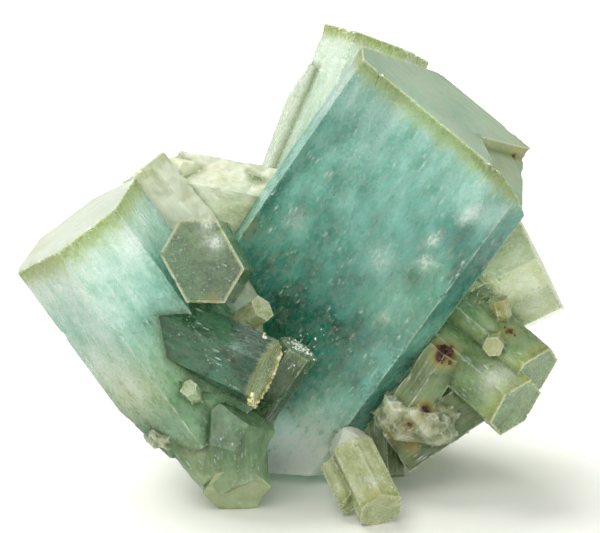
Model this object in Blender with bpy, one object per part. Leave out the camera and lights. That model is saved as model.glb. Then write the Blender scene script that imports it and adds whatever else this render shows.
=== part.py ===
"""Aquamarine crystal cluster, a small-cabinet mineral specimen about 81 mm wide.

Six-sided beryl prisms with flat pinacoid terminations have grown together from
one broken root. Two big prisms make a V, smaller ones fill the fork and the
foot, and patches of broken matrix hold the right and the back. All of it is
one grown solid, so all of it is one object.

Run with: blender --background --python part.py
Blender units are metres; the dimensions below are written in millimetres.
"""
import math
import random

import bmesh
import bpy
from mathutils import Euler, Vector, noise

MM = 0.001

# ---------------------------------------------------------------- dimensions
OBJECT_NAME = "aquamarine_cluster"

MAIN_LENGTH = 72.0        # teal prism, measured down its axis before the base is cut
MAIN_LEAN = 33.0          # degrees to the right of upright
LEFT_LENGTH = 36.0        # stout pale prism on the left
LEFT_LEAN = -34.5
BACK_LENGTH = 46.0        # pale prism standing behind the main one
BACK_LEAN = 20.5
BASE_RISE = 1.4           # height of the main prism's broken front lower edge
BASE_SLOPE = 0.20         # fall of the broken base towards the back
GROWTH_STEP = 0.3         # height of the growth ledges that run along the prisms
GROUND = -1.2             # level at which the feet are cut flat
CENTRE_SHIFT = (0.16, -3.615, 1.2)   # puts the origin under the middle of the cluster

BIG = 200.0               # size of the blocks that the planes cut down


# ------------------------------------------------------------------- helpers
def fresh_scene():
    """Remove what is in the file and make the two collections."""
    for obj in list(bpy.data.objects):
        bpy.data.objects.remove(obj, do_unlink=True)
    parts = bpy.data.collections.new(OBJECT_NAME)
    cutters = bpy.data.collections.new("cutters")
    for collection in (parts, cutters):
        bpy.context.scene.collection.children.link(collection)
    return parts, cutters


def slice_off(bm, normal, reach, origin=(0.0, 0.0, 0.0)):
    """Cut the block at a plane, drop what lies outside it and close the cut."""
    normal = Vector(normal).normalized()
    point = (Vector(origin) + normal * reach) * MM
    geometry = bm.verts[:] + bm.edges[:] + bm.faces[:]
    cut = bmesh.ops.bisect_plane(
        bm, geom=geometry, dist=1e-7, plane_co=point, plane_no=normal, clear_outer=True
    )
    edges = [item for item in cut["geom_cut"] if isinstance(item, bmesh.types.BMEdge)]
    if edges:
        bmesh.ops.contextual_create(bm, geom=edges)


def finish_mesh(bm, name, collection, guide=True):
    """Turn the bmesh into an object in the given collection."""
    bmesh.ops.recalc_face_normals(bm, faces=bm.faces)
    mesh = bpy.data.meshes.new(name)
    bm.to_mesh(mesh)
    bm.free()
    obj = bpy.data.objects.new(name, mesh)
    collection.objects.link(obj)
    if guide:
        obj.hide_render = True
        obj.display_type = "WIRE"
    return obj


def place(obj, tip, lean, toward, twist):
    """Stand an object's +Z along a crystal axis, with its origin at the tip."""
    obj.rotation_mode = "ZXY"
    obj.rotation_euler = (math.radians(toward), math.radians(lean), math.radians(twist))
    obj.location = Vector(tip) * MM


def crystal(name, tip, lean, toward, twist, faces, length, cuts=(), world_cuts=()):
    """A six-sided prism that hangs down from the centre of its flat termination.

    lean tilts the axis to the right, toward tips it to the front, and twist
    turns the prism about its axis. faces holds the distances from the axis to
    the six prism faces, front face first and going round to the right. cuts
    are (normal, reach) in the crystal's own frame; world_cuts are (normal,
    point) in the frame of the whole cluster.
    """
    if isinstance(faces, (int, float)):
        faces = (faces,) * 6
    bm = bmesh.new()
    bmesh.ops.create_cube(bm, size=BIG * MM)
    for side, reach in enumerate(faces):
        angle = math.radians(-90.0 + 60.0 * side)
        slice_off(bm, (math.cos(angle), math.sin(angle), 0.0), reach)
    slice_off(bm, (0.0, 0.0, 1.0), 0.0)
    slice_off(bm, (0.0, 0.0, -1.0), length)
    for normal, reach in cuts:
        slice_off(bm, normal, reach)
    turn = Euler((math.radians(toward), math.radians(lean), math.radians(twist)), "ZXY")
    to_local = turn.to_matrix().transposed()
    for normal, point in world_cuts:
        local_point = to_local @ (Vector(point) - Vector(tip))
        slice_off(bm, to_local @ Vector(normal), 0.0, local_point)
    obj = finish_mesh(bm, name, CUTTERS)
    place(obj, tip, lean, toward, twist)
    return obj


def chunk(name, centre, radii, facets, seed, world_cuts=()):
    """A broken lump: a block split by planes spread evenly round it."""
    rng = random.Random(seed)
    bm = bmesh.new()
    bmesh.ops.create_cube(bm, size=4.0 * MM)
    golden = math.pi * (3.0 - math.sqrt(5.0))
    for index in range(facets):
        height = 1.0 - 2.0 * (index + 0.5) / facets
        ring = math.sqrt(1.0 - height * height)
        turn = golden * index + rng.uniform(-0.35, 0.35)
        normal = (ring * math.cos(turn), ring * math.sin(turn), height)
        slice_off(bm, normal, rng.uniform(0.78, 1.0))
    bmesh.ops.scale(bm, vec=radii, verts=bm.verts)
    for normal, point in world_cuts:
        slice_off(bm, normal, 0.0, Vector(point) - Vector(centre))
    obj = finish_mesh(bm, name, CUTTERS)
    obj.location = Vector(centre) * MM
    return obj


def rough_lump(name, centre, radii, roughness, seed, detail=3):
    """A lump of granular matrix: a sphere pushed in and out by smooth noise."""
    bm = bmesh.new()
    bmesh.ops.create_icosphere(bm, subdivisions=detail, radius=1.0)
    shift = Vector((seed * 7.3, seed * 3.1, seed * 5.7))
    for vert in bm.verts:
        out = vert.co.normalized()
        coarse = noise.noise(out * 1.7 + shift)
        fine = noise.noise(out * 4.6 + shift)
        swell = 1.0 + roughness * (coarse + 0.55 * fine)
        vert.co = Vector([out[i] * radii[i] * swell * MM for i in range(3)])
    obj = finish_mesh(bm, name, CUTTERS)
    obj.location = Vector(centre) * MM
    return obj


def combine(target, tool, operation="UNION"):
    """Apply one exact Boolean to the target and keep the result as its mesh."""
    modifier = target.modifiers.new(operation.lower(), "BOOLEAN")
    modifier.operation = operation
    modifier.solver = "EXACT"
    modifier.object = tool
    bpy.context.view_layer.update()
    evaluated = target.evaluated_get(bpy.context.evaluated_depsgraph_get())
    mesh = bpy.data.meshes.new_from_object(evaluated)
    target.modifiers.clear()
    target.data = mesh


# --------------------------------------------------------------- the crystals
MAIN = dict(tip=(22.5, -4.0, 55.7), lean=MAIN_LEAN, toward=9.5, twist=-22.5)
LEFT = dict(tip=(-32.6, -6.0, 40.6), lean=LEFT_LEAN, toward=-0.5, twist=21.0)
BACK = dict(tip=(12.0, 22.0, 62.9), lean=BACK_LEAN, toward=-13.0, twist=0.0)
RIGHT = dict(tip=(36.9, 8.0, 31.4), lean=63.0, toward=0.0, twist=10.0)

# The broken underside slopes up to the right, from the foot to the low prisms.
UNDER_RIGHT = ((0.57, 0.0, -0.82), (20.0, -4.0, 6.2))


def below_tip(prism, drop):
    """The same placement, moved down the prism's axis."""
    turn = Euler(
        (math.radians(prism["toward"]), math.radians(prism["lean"]), 0.0), "ZXY"
    )
    axis = turn.to_matrix() @ Vector((0.0, 0.0, 1.0))
    return {**prism, "tip": Vector(prism["tip"]) - axis * drop}


def main_prism():
    """The teal prism: wide front face, narrow front flanks, broken base."""
    below = ((0.0, -BASE_SLOPE, -1.0), (7.0, -6.0, BASE_RISE))
    left_foot = ((-1.0, 0.0, -0.55), (-14.5, 0.0, 7.0))
    right_flank = ((0.984, 0.178, 0.0), 16.4)
    faces = (4.3, 15.1, 14.6, 14.5, 15.5, 15.6)
    return crystal(
        "main_prism", faces=faces, length=MAIN_LENGTH,
        cuts=(right_flank,), world_cuts=(below, left_foot), **MAIN
    )


def main_prism_ledges():
    """Shallow growth steps that run down the main prism's faces."""
    step = GROWTH_STEP
    limits = (((0.0, -BASE_SLOPE, -1.0), (7.0, -6.0, BASE_RISE + 0.5)),)
    left = crystal(
        "main_ledge_left", faces=(4.3 + step, 1.0, 10.0, 10.0, 10.0, 13.0),
        length=56.0, world_cuts=limits, **below_tip(MAIN, 5.0)
    )
    back = crystal(
        "main_ledge_back", faces=(1.0, 10.0, 10.0, 14.5 + step, 9.0, 10.0),
        length=58.0, world_cuts=limits, **below_tip(MAIN, 4.0)
    )
    flank = crystal(
        "main_ledge_flank", faces=(1.0, 9.0, 14.6 + step, 9.0, 5.0, 5.0),
        length=30.0, **below_tip(MAIN, 9.0)
    )
    return [left, back, flank]


def main_prism_notch():
    """The chip that takes away the right front corner of the termination."""
    bm = bmesh.new()
    bmesh.ops.create_cube(bm, size=BIG * MM)
    slice_off(bm, (-0.74, -0.67, 0.0), -4.65)
    slice_off(bm, (-0.91, 0.41, 0.0), -2.3)
    slice_off(bm, (-0.21, 0.09, -0.97), 1.25)
    slice_off(bm, (0.0, 0.0, 1.0), 6.0)
    notch = finish_mesh(bm, "main_notch", CUTTERS)
    place(notch, MAIN["tip"], MAIN["lean"], MAIN["toward"], MAIN["twist"])
    return notch


def left_prism():
    """The stout pale prism, with a bevelled termination and a broken foot."""
    faces = (8.5, 8.2, 12.4, 13.8, 10.2, 9.3)
    foot = ((-0.66, 0.0, -0.75), (-22.8, -6.0, 9.5))
    worn_corner = ((-0.30, -0.12, 0.95), 2.9)
    prism = crystal(
        "left_prism", faces=faces, length=LEFT_LENGTH, cuts=(worn_corner,),
        world_cuts=(foot,), **LEFT
    )
    front = crystal(
        "left_ledge_front", faces=(8.5 + GROWTH_STEP, 2.0, 5.0, 5.0, 5.0, 7.0),
        length=LEFT_LENGTH - 8.0, world_cuts=(foot,), **below_tip(LEFT, 6.0)
    )
    back = crystal(
        "left_ledge_back", faces=(1.0, 6.0, 8.0, 13.8 + GROWTH_STEP, 4.0, 6.0),
        length=LEFT_LENGTH - 6.0, world_cuts=(foot,), **below_tip(LEFT, 3.0)
    )
    return [prism, front, back]


def other_large_prisms():
    """The pale prisms behind and to the right of the main one."""
    back_ledge = crystal(
        "back_ledge", faces=(2.0, 2.0, 3.0, 7.5 + GROWTH_STEP, 2.0, 2.0),
        length=38.0, **below_tip(BACK, 5.0)
    )
    return [
        crystal("back_prism", faces=7.5, length=BACK_LENGTH, **BACK),
        back_ledge,
        crystal("back_prism_flank", (-0.2, 15.0, 56.8), 20.5, -6.0, 10.0, 1.1, 24.0),
        crystal("right_prism", faces=8.0, length=26.0, **RIGHT),
        crystal(
            "right_ledge", faces=(8.0 + GROWTH_STEP, 2.0, 3.0, 4.0, 3.0, 4.0),
            length=18.0, **below_tip(RIGHT, 4.0)
        ),
    ]


def fork_crystals():
    """Smaller prisms in the fork between the two big ones."""
    hexagon_faces = (6.1, 5.6, 4.5, 6.0, 6.2, 5.3)
    return [
        crystal("hexagon", (-13.8, -12.5, 37.0), -17.0, 73.5, -17.0, hexagon_faces, 14.0),
        crystal("dark_prism", (-5.0, -14.5, 20.5), 110.5, 17.5, 0.0, 4.7, 19.0),
        crystal("frosted_tip", (-0.1, -5.0, 21.5), 32.5, 3.5, 0.0, 2.8, 24.0),
        crystal("yellow_stub", (-5.5, -8.0, 28.6), 47.0, 25.5, 20.0, 1.9, 9.0),
        crystal("pale_stub", (-16.2, -16.5, 19.0), -24.0, 47.0, 0.0, 1.2, 4.0),
        crystal("rear_left_prism", (-23.8, 8.0, 46.3), -38.5, -7.0, 0.0, 3.5, 34.0),
        crystal("rear_left_block", (-19.8, 14.0, 40.8), -80.0, -2.5, 0.0, 6.0, 16.0),
        crystal("fork_needle", (-6.4, 12.0, 44.0), 23.5, -9.0, 0.0, 1.6, 14.0),
    ]


def foot_crystals():
    """The two low prisms that reach the ground in front."""
    return [
        crystal("left_foot", (-9.4, -14.6, 2.5), 172.0, 60.0, 0.0, 4.4, 15.0),
        crystal("left_foot_side", (-11.0, -12.0, 5.0), 136.0, 19.0, 10.0, 4.6, 20.0),
        crystal("front_foot", (11.8, -20.3, 1.5), 144.5, 55.0, 0.0, 3.1, 18.0),
        crystal("front_foot_side", (7.4, -15.5, 2.0), 141.0, 48.0, 15.0, 2.2, 12.0),
        chunk("front_root", (8.0, -7.0, 5.5), (3.6, 3.6, 4.2), 18, 9),
    ]


def right_crystals():
    """Yellow-edged prisms that point down to the right."""
    twin_faces = (4.8, 4.6, 4.2, 4.2, 4.6, 4.6)
    return [
        crystal("low_right_prism", (31.7, -13.0, 14.8), 122.0, 42.0, 10.0, 4.4, 20.0),
        crystal(
            "low_right_twin", (34.6, -9.0, 18.3), 123.0, 39.0, 10.0, twin_faces, 22.0
        ),
        crystal("hexagon_stub", (28.3, -11.5, 23.7), -68.0, 78.5, 0.0, 1.4, 5.0),
        crystal("yellow_block", (29.4, -5.0, 29.3), -13.5, 10.5, 0.0, 1.3, 6.0),
        crystal("matrix_prism", (22.0, -7.0, 21.5), 33.5, -2.5, 15.0, 3.0, 14.0),
        crystal("matrix_spike", (13.2, -6.0, 1.6), 178.0, 25.0, 30.0, 2.6, 12.0),
    ]


def back_crystals():
    """Prisms on the far side, pointing away from the root."""
    return [
        crystal("rear_stub_a", (-24.0, 13.0, 22.0), -60.0, -40.0, 0.0, 3.6, 16.0),
        crystal("rear_stub_b", (-6.0, 24.0, 27.0), -25.0, -58.0, 12.0, 5.0, 18.0),
        crystal("rear_stub_c", (17.0, 25.0, 14.0), 40.0, -70.0, 5.0, 4.6, 16.0),
        crystal("rear_stub_d", (30.0, 16.0, 14.0), 105.0, -35.0, 10.0, 4.0, 16.0),
        crystal("rear_stub_e", (-13.0, 20.0, 34.0), -50.0, -50.0, 20.0, 2.6, 12.0),
    ]


def matrix():
    """Broken rock and intergrown beryl that ties the prisms together."""
    cuts = (UNDER_RIGHT,)
    return [
        crystal(
            "matrix_block", (26.5, -3.0, 14.6), 56.0, -3.5, 0.0, 6.0, 15.0,
            world_cuts=cuts
        ),
        crystal("matrix_bridge", (29.4, 6.0, 27.5), 48.5, -5.0, 15.0, 7.0, 20.0),
        chunk("root_left", (-8.0, 12.0, 15.0), (14.0, 10.0, 14.0), 22, 3),
        chunk("root_right", (12.0, 13.0, 10.0), (13.0, 10.0, 10.0), 22, 5, cuts),
        chunk("rear_foot", (11.5, 14.5, 3.0), (6.0, 6.0, 6.5), 20, 11),
        rough_lump("granular_right", (17.8, -6.8, 11.4), (6.8, 5.0, 4.2), 0.34, 2),
        rough_lump("granular_left", (-19.5, -5.5, 10.0), (4.6, 7.5, 3.6), 0.28, 4),
        rough_lump("granular_rear", (2.0, 18.0, 16.0), (9.0, 5.5, 8.5), 0.30, 6),
    ]


def pits():
    """Dissolved pockets in the granular matrix."""
    spots = (
        ((19.0, -11.8, 12.4), 1.5),
        ((15.2, -11.2, 10.6), 1.2),
        ((21.6, -10.6, 13.8), 1.2),
        ((2.0, 23.8, 17.0), 1.5),
        ((-2.5, 22.8, 13.0), 1.2),
    )
    made = []
    for index, (centre, radius) in enumerate(spots):
        bm = bmesh.new()
        bmesh.ops.create_icosphere(bm, subdivisions=1, radius=radius * MM)
        pit = finish_mesh(bm, "pit_%d" % index, CUTTERS)
        pit.location = Vector(centre) * MM
        made.append(pit)
    return made


# ---------------------------------------------------------------- the cluster
def ground_block():
    """What the cluster is levelled against, so its feet are flat."""
    bm = bmesh.new()
    bmesh.ops.create_cube(bm, size=BIG * MM)
    drop = GROUND - 0.5 * BIG
    bmesh.ops.translate(bm, vec=(0.0, 0.0, drop * MM), verts=bm.verts)
    return finish_mesh(bm, "ground_block", CUTTERS)


def beryl():
    """Pale blue-green aquamarine: clear, glossy and dielectric."""
    material = bpy.data.materials.new("aquamarine")
    material.use_nodes = True
    shader = material.node_tree.nodes["Principled BSDF"]
    shader.inputs["Base Color"].default_value = (0.36, 0.62, 0.58, 1.0)
    shader.inputs["Roughness"].default_value = 0.15
    shader.inputs["Metallic"].default_value = 0.0
    shader.inputs["IOR"].default_value = 1.577
    shader.inputs["Transmission Weight"].default_value = 0.6
    return material


def build():
    """Join everything into one solid, level its feet and centre it."""
    body = main_prism()
    combine(body, main_prism_notch(), "DIFFERENCE")
    grown = (
        main_prism_ledges() + left_prism() + other_large_prisms()
        + fork_crystals() + foot_crystals() + right_crystals()
        + back_crystals() + matrix()
    )
    for piece in grown:
        combine(body, piece)
    for pit in pits():
        combine(body, pit, "DIFFERENCE")
    combine(body, ground_block(), "DIFFERENCE")

    bm = bmesh.new()
    bm.from_mesh(body.data)
    bm.transform(body.matrix_world)
    bmesh.ops.translate(bm, vec=Vector(CENTRE_SHIFT) * MM, verts=bm.verts)
    bmesh.ops.remove_doubles(bm, verts=bm.verts, dist=0.02 * MM)
    bmesh.ops.triangulate(bm, faces=bm.faces)
    cluster = finish_mesh(bm, OBJECT_NAME, PARTS, guide=False)
    cluster.data.materials.append(beryl())
    return cluster


PARTS, CUTTERS = fresh_scene()
cluster = build()
print("triangles in the cluster:", len(cluster.data.polygons))
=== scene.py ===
# %% [markdown]
# # Aquamarine crystal cluster
#
# Aquamarine is the blue-green kind of beryl. It grows in granite pegmatite as
# six-sided prisms that end in a flat face, the pinacoid. This specimen is 82 mm
# wide. Two stout prisms lean apart in a V, slimmer ones fill the fork and the
# foot, and all of them share one broken root.
#
# The lesson makes every crystal from a row of numbers, joins them in one closed
# solid, writes on that solid where each point lies in its own crystal, and lets
# the materials read those coordinates. Colour bands, veils and growth lines
# then follow the crystal that they are in, as they do in nature.

import math
import random

import bmesh
import bpy
import numpy as np
from mathutils import Euler, Matrix, Vector, noise
from mathutils.bvhtree import BVHTree
from mathutils.kdtree import KDTree


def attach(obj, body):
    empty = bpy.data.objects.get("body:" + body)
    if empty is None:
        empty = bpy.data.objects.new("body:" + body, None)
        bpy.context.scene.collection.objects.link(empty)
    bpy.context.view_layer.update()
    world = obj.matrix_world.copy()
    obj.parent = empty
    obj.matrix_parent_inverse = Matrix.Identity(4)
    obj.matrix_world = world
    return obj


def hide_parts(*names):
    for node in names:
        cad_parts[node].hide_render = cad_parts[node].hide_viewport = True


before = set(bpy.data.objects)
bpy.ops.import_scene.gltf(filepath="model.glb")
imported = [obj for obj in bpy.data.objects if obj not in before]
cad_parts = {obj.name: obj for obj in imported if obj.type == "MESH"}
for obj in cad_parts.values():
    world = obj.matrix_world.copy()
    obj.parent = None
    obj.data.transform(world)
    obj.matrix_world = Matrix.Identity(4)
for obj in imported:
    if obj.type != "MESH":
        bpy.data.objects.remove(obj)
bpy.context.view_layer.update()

MM = 0.001
SHIFT = Vector((0.16, -3.615, 1.2))     # mm, puts the middle of the cluster over the origin
BIG = 200.0                             # mm, size of the block that a crystal is cut from


def to_linear(code):
    """An sRGB hex colour as the linear colour that a shader works with."""
    channels = [int(code[i:i + 2], 16) / 255.0 for i in (1, 3, 5)]
    linear = [c / 12.92 if c <= 0.04045 else ((c + 0.055) / 1.055) ** 2.4 for c in channels]
    return (*linear, 1.0)


# %% [markdown]
# ## One crystal
#
# A beryl prism is what is left of a block after eight flat cuts: six sides, the
# flat top and the bottom. The six sides are at 60 degrees to each other, but
# they grow at different speeds, so each has its own distance from the axis.
# Cutting a block by planes keeps every face truly flat, which is what makes a
# crystal look like one.
#
# Each face carries the number of its crystal. The number survives the Boolean
# union, so later steps know whose face they are looking at.

# %% crystals from planes
CRYSTALS = []                           # one entry a crystal: its frame, look and kind
FIRST_SIDE = -90.0                      # degrees, heading of the front face of a prism
GOLDEN_ANGLE = math.pi * (3.0 - math.sqrt(5.0))


def enlist(name, tip, look, turn=Matrix.Identity(3), solid=False):
    """Add a crystal or lump to the list and return its number. Prisms are solid."""
    CRYSTALS.append(dict(name=name, turn=turn, tip=Vector(tip) + SHIFT, look=look,
                         solid=solid))
    return len(CRYSTALS) - 1


def block(size=BIG):
    """A cube to cut a crystal from."""
    bm = bmesh.new()
    bmesh.ops.create_cube(bm, size=size * MM)
    return bm


def slice_off(bm, normal, reach, origin=(0.0, 0.0, 0.0)):
    """Cut the block at a plane, drop what lies outside it and close the cut."""
    normal = Vector(normal).normalized()
    point = (Vector(origin) + normal * reach) * MM
    geometry = bm.verts[:] + bm.edges[:] + bm.faces[:]
    cut = bmesh.ops.bisect_plane(bm, geom=geometry, dist=1e-7, plane_co=point,
                                 plane_no=normal, clear_outer=True)
    edges = [item for item in cut["geom_cut"] if isinstance(item, bmesh.types.BMEdge)]
    if edges:
        bmesh.ops.contextual_create(bm, geom=edges)


def link_mesh(bm, name):
    """Make the bmesh an object of the scene."""
    mesh = bpy.data.meshes.new(name)
    bm.to_mesh(mesh)
    bm.free()
    obj = bpy.data.objects.new(name, mesh)
    bpy.context.scene.collection.objects.link(obj)
    return obj


def as_object(bm, name, number, centre=(0.0, 0.0, 0.0)):
    """Close the bmesh, number its faces, and make it an object at a place in mm."""
    bmesh.ops.recalc_face_normals(bm, faces=bm.faces)
    layer = bm.faces.layers.int.new("crystal")
    for face in bm.faces:
        face[layer] = number
    obj = link_mesh(bm, name)
    obj.location = Vector(centre) * MM
    return obj


def attitude(lean, toward, twist):
    """How a crystal is turned: lean to the right, tip to the front, twist on its axis."""
    angles = [math.radians(value) for value in (toward, lean, twist)]
    return Euler(angles, "ZXY").to_matrix()


def stand(obj, tip, turn):
    """Turn a prism to its attitude, with its tip in its place."""
    obj.matrix_world = Matrix.Translation((Vector(tip) + SHIFT) * MM) @ turn.to_4x4()
    return obj


def crystal(name, tip, lean, toward, twist, faces, length, look, cuts=(), world_cuts=(),
            part_of=None):
    """A prism that hangs down from the centre of its flat top.

    part_of is the number of the crystal that a growth step belongs to. Its
    colours then run on over the step.
    """
    if isinstance(faces, (int, float)):
        faces = (faces,) * 6
    turn = attitude(lean, toward, twist)
    bm = block()
    for side, reach in enumerate(faces):
        angle = math.radians(FIRST_SIDE + 60.0 * side)
        slice_off(bm, (math.cos(angle), math.sin(angle), 0.0), reach)
    slice_off(bm, (0.0, 0.0, 1.0), 0.0)
    slice_off(bm, (0.0, 0.0, -1.0), length)
    for normal, reach in cuts:
        slice_off(bm, normal, reach)
    for normal, point in world_cuts:
        local_point = turn.transposed() @ (Vector(point) - Vector(tip))
        slice_off(bm, turn.transposed() @ Vector(normal), 0.0, local_point)
    if part_of is None:
        part_of = enlist(name, tip, look, turn, solid=True)
    return stand(as_object(bm, name, part_of), tip, turn)


def chunk(name, centre, radii, facets, seed, look, world_cuts=()):
    """A broken lump: a block split by planes spread evenly round it."""
    rng = random.Random(seed)
    bm = block(4.0)
    for index in range(facets):
        height = 1.0 - 2.0 * (index + 0.5) / facets
        ring = math.sqrt(1.0 - height * height)
        turn = GOLDEN_ANGLE * index + rng.uniform(-0.35, 0.35)
        normal = (ring * math.cos(turn), ring * math.sin(turn), height)
        slice_off(bm, normal, rng.uniform(0.78, 1.0))
    bmesh.ops.scale(bm, vec=radii, verts=bm.verts)
    for normal, point in world_cuts:
        slice_off(bm, normal, 0.0, Vector(point) - Vector(centre))
    return as_object(bm, name, enlist(name, centre, look), Vector(centre) + SHIFT)


def ball(radius, subdivisions):
    """A sphere of triangles."""
    bm = bmesh.new()
    bmesh.ops.create_icosphere(bm, subdivisions=subdivisions, radius=radius)
    return bm


def rough_lump(name, centre, radii, roughness, seed, look):
    """A lump of grains: a sphere pushed in and out by smooth noise."""
    bm = ball(1.0, 3)
    shift = Vector((seed * 7.3, seed * 3.1, seed * 5.7))
    for vert in bm.verts:
        out = vert.co.normalized()
        coarse = noise.noise(out * 1.7 + shift)
        fine = noise.noise(out * 4.6 + shift)
        swell = 1.0 + roughness * (coarse + 0.55 * fine)
        vert.co = Vector([out[i] * radii[i] * swell * MM for i in range(3)])
    return as_object(bm, name, enlist(name, centre, look), Vector(centre) + SHIFT)


def combine(target, tool, operation="UNION"):
    """Apply one exact Boolean to the target, then put the tool away."""
    modifier = target.modifiers.new(operation.lower(), "BOOLEAN")
    modifier.operation = operation
    modifier.solver = "EXACT"
    modifier.object = tool
    bpy.context.view_layer.update()
    evaluated = target.evaluated_get(bpy.context.evaluated_depsgraph_get())
    mesh = bpy.data.meshes.new_from_object(evaluated)
    target.modifiers.clear()
    target.data = mesh
    bpy.data.objects.remove(tool, do_unlink=True)


# %% [markdown]
# ## How each crystal is coloured
#
# Iron gives beryl its colour: blue-green inside, yellow-green in the last layer
# that grew at the tips. A look holds the strength of the colour at several
# depths below the tip, and its hue: 0 is blue-green, 1 olive and 2 honey yellow.
# It also holds the thickness of the yellow-green cap, how dull the tip is, how
# much stain and fibre the sides carry, and which sides are paler or deeper. A
# ragged crystal is broken all over. A soft one has no chipped edges with their
# white line of painted highlight, and no painted shade in its own inner corners.

# %% looks
def look(aqua, hue=0.1, rim=0, rim_strength=0, ring=0.3, stain=0, frost=0, dull=0.15,
         fibre=0, sides=(0,) * 6, ragged=False, soft=False):
    """Colour of one crystal. aqua and hue list (mm below the tip, value)."""
    aqua, hue = [value if isinstance(value, tuple) else ((0, value),)
                 for value in (aqua, hue)]
    return dict(aqua=aqua, hue=hue, rim=rim, rim_strength=rim_strength, ring=ring,
                stain=stain, frost=frost, dull=dull, fibre=fibre, sides=sides,
                ragged=ragged, soft=soft)


TEAL = look(((0, 0.34), (5, 0.42), (12, 0.57), (22, 0.75), (32, 0.80),
             (42, 0.78), (49, 0.62), (56, 0.42)), hue=0.06, rim=2.5,
            rim_strength=0.95, ring=0.3, dull=0.9, fibre=0.05,
            sides=(0, 0.06, 0, 0, -0.1, -0.24))
PALE_LEFT = look(((0, 0.06), (5, 0.13), (12, 0.30), (19, 0.52), (27, 0.66)),
                 hue=((0, 0.25), (10, 0.12), (16, 0.20), (24, 0.75)), rim=2.7,
                 rim_strength=1, ring=0.3, dull=0.9, fibre=0.08,
                 sides=(0, 0.26, 0, 0, 0, -0.04))
PALE_BACK = look(((0, 0.10), (20, 0.22), (40, 0.34)), hue=0.45, rim=1.8,
                 rim_strength=1, dull=0.5, fibre=0.12)
PALE_FLANK = look(((0, -0.10), (24, 0.05)), hue=0.6, dull=0.5, fibre=0.12)
PALE_RIGHT = look(((0, 0.10), (9, 0.20), (15, 0.42)), hue=1.15, rim=1.7,
                  rim_strength=0.4, dull=0.4, fibre=0.05)
GREEN_RIGHT = look(((0, 0.58), (7, 0.54), (14, 0.60)), hue=0.98, rim=2.2,
                   rim_strength=0.95, ring=0.5, dull=0.1)
HEXAGON = look(0.80, hue=1, rim=0.8, rim_strength=0.8, ring=0.55, dull=0)
DARK = look(1, hue=0.62, rim=0.7, rim_strength=0.75, ring=9, dull=0, soft=True)
SMOKE = look(((0, 0.60), (3, 0.80), (8, 0.92)), hue=0.95, fibre=0.1, dull=0.2)
YELLOW = look(0.38, hue=1.8, rim=0.8, rim_strength=0.3)
CLEAR_YELLOW = look(0.24, hue=1.25, rim=0.6, rim_strength=0.3, dull=0)
GREEN_STUB = look(0.34, hue=1, rim=0.6, rim_strength=0.4)
REAR = look(-0.12, hue=0.9, rim=1.8, rim_strength=0.5, stain=0.08, dull=0.3, ragged=True)
REAR_TAN = look(((0, -0.10), (12, 0.08)), hue=0.95, stain=0.14, fibre=0.14, dull=0.4,
                ragged=True)
FOOT_DARK = look(((0, 0.40), (4, 0.52), (9, 0.72)), hue=0.85, rim=0.5,
                 rim_strength=0.5, ring=0.4, dull=0, ragged=True, soft=True)
FOOT_LUMP = look(((-6, 0.74), (-1, 0.64), (4, 0.40)), hue=0.85, ragged=True, soft=True)
FOOT_PALE = look(0.27, hue=1.25, rim=1.1, rim_strength=0.8, ring=0.6, dull=0.1)
MATRIX = look(0.78, hue=1.12, stain=0.28, fibre=0.30, dull=0.2, ragged=True)
ROOT = look(0.42, hue=1.15, stain=0.45, fibre=0.2, dull=0.3, ragged=True)
PINK_ROOT = look(0.06, hue=1.3, stain=0.20, frost=0.6, ragged=True)
STUB = look(((0, 0.20), (10, 0.50)), hue=0.35, rim=1.4, rim_strength=0.85, dull=0.3)
GRAIN = look(0.25, hue=1.2)

# %% [markdown]
# ## The crystals of this cluster
#
# Lengths are in millimetres and angles in degrees. tip is the centre of the
# flat top. The six face distances start at the front face and go round to the
# right. The list starts with the big teal prism and its broken corner and
# shallow growth steps, then the stout pale prism on the left.

# %% big prisms
STEP = 0.3                              # mm, height of a growth step
MAIN = dict(tip=(22.5, -4, 55.7), lean=33, toward=9.5, twist=-22.5)
LEFT = dict(tip=(-32.6, -6, 40.6), lean=-34.5, toward=-0.5, twist=21)
BACK = dict(tip=(12, 22, 62.9), lean=20.5, toward=-13, twist=0)
FLANK = dict(tip=(1.4, 19.4, 60), lean=20.5, toward=-6, twist=10)
RIGHT = dict(tip=(36.9, 8, 31.4), lean=63, toward=0, twist=10)

# Cuts through the whole cluster: the direction that is cut away, and a point of the cut.
BASE = ((0, -0.20, -1), (7, -6, 1.4))
ABOVE_BASE = ((0, -0.20, -1), (7, -6, 1.9))
LOW_LEFT = ((-1, 0, -0.55), (-14.5, 0, 7))
LEFT_FOOT = ((-0.66, 0, -0.75), (-22.8, -6, 9.5))
TAPER = ((-0.80, 0, 0.60), (0.45, 19.4, 58.4))
UNDER_RIGHT = ((0.57, 0, -0.82), (20, -4, 6.2))
# Cuts that turn with their prism: the direction, and the distance from the tip's centre.
RIGHT_SLIVER = ((0.984, 0.178, 0), 16.4)
BEVEL = ((-0.30, -0.12, 0.95), 2.9)

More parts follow.
